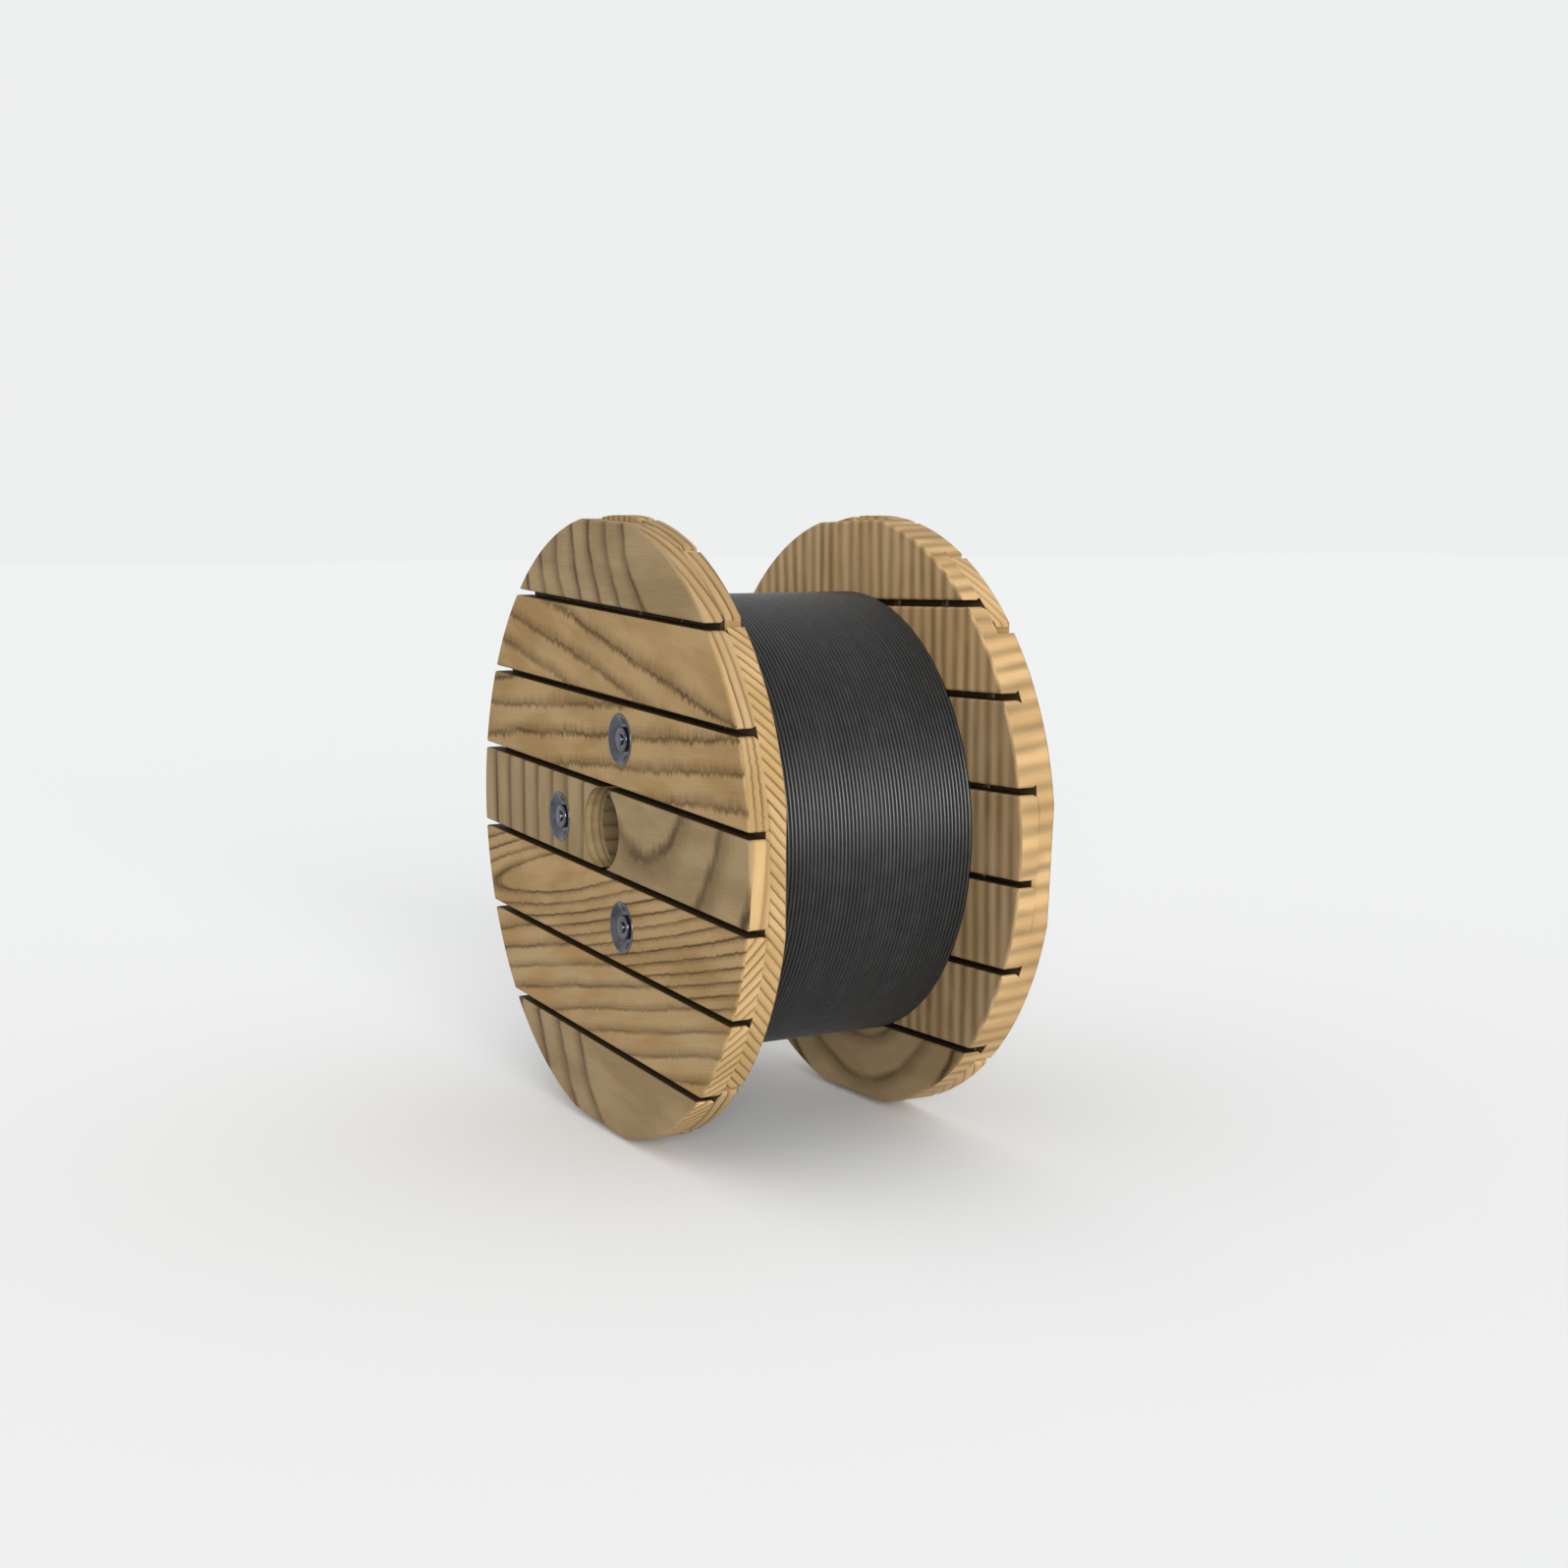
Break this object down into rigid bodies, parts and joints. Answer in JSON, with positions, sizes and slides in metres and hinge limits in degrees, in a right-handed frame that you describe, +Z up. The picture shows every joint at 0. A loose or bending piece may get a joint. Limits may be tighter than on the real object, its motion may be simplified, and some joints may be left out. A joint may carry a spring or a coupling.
{
  "type": "wooden cable drum",
  "caption": "Wooden cable drum: crossed-board flanges with a central arbor hole, tied by bolts in dished washers, wound full with thin dark cable.",
  "frame": {"origin": "on the drum's axis, midway between the two flanges", "axes": "+Y along the arbor hole from the front flange to the back one, +Z up, the drum standing on its rims"},
  "size_m": [0.6, 0.3275, 0.6],
  "materials": {
    "flange_boards": "sawn, unpainted, clear grain",
    "barrel_staves": "sawn, unpainted",
    "bolt_steel": "bright dark steel",
    "washer_steel": "pressed, polished dark steel",
    "cable_sheath": "satin black sheath"
  },
  "bodies": {
    "root": {"front_outer_board_1": "flange_boards", "front_outer_board_2": "flange_boards", "front_outer_board_3": "flange_boards", "front_outer_board_4_left": "flange_boards", "front_outer_board_4_right": "flange_boards", "front_outer_board_5": "flange_boards", "front_outer_board_6": "flange_boards", "front_outer_board_7": "flange_boards", "front_inner_board_1": "flange_boards", "front_inner_board_2": "flange_boards", "front_inner_board_3": "flange_boards", "front_inner_board_4_lower": "flange_boards", "front_inner_board_4_upper": "flange_boards", "front_inner_board_5": "flange_boards", "front_inner_board_6": "flange_boards", "front_inner_board_7": "flange_boards", "back_inner_board_1": "flange_boards", "back_inner_board_2": "flange_boards", "back_inner_board_3": "flange_boards", "back_inner_board_4_left": "flange_boards", "back_inner_board_4_right": "flange_boards", "back_inner_board_5": "flange_boards", "back_inner_board_6": "flange_boards", "back_inner_board_7": "flange_boards", "back_outer_board_1": "flange_boards", "back_outer_board_2": "flange_boards", "back_outer_board_3": "flange_boards", "back_outer_board_4_lower": "flange_boards", "back_outer_board_4_upper": "flange_boards", "back_outer_board_5": "flange_boards", "back_outer_board_6": "flange_boards", "back_outer_board_7": "flange_boards", "barrel_stave_1": "barrel_staves", "barrel_stave_2": "barrel_staves", "barrel_stave_3": "barrel_staves", "barrel_stave_4": "barrel_staves", "barrel_stave_5": "barrel_staves", "barrel_stave_6": "barrel_staves", "barrel_stave_7": "barrel_staves", "barrel_stave_8": "barrel_staves", "barrel_stave_9": "barrel_staves", "barrel_stave_10": "barrel_staves", "barrel_stave_11": "barrel_staves", "barrel_stave_12": "barrel_staves", "tie_bolt_1": "bolt_steel", "tie_bolt_2": "bolt_steel", "tie_bolt_3": "bolt_steel", "nut_1": "bolt_steel", "nut_2": "bolt_steel", "nut_3": "bolt_steel", "front_dish_washer_1": "washer_steel", "front_dish_washer_2": "washer_steel", "front_dish_washer_3": "washer_steel", "back_dish_washer_1": "washer_steel", "back_dish_washer_2": "washer_steel", "back_dish_washer_3": "washer_steel", "cable_winding": "cable_sheath"}
  },
  "joints": []
}
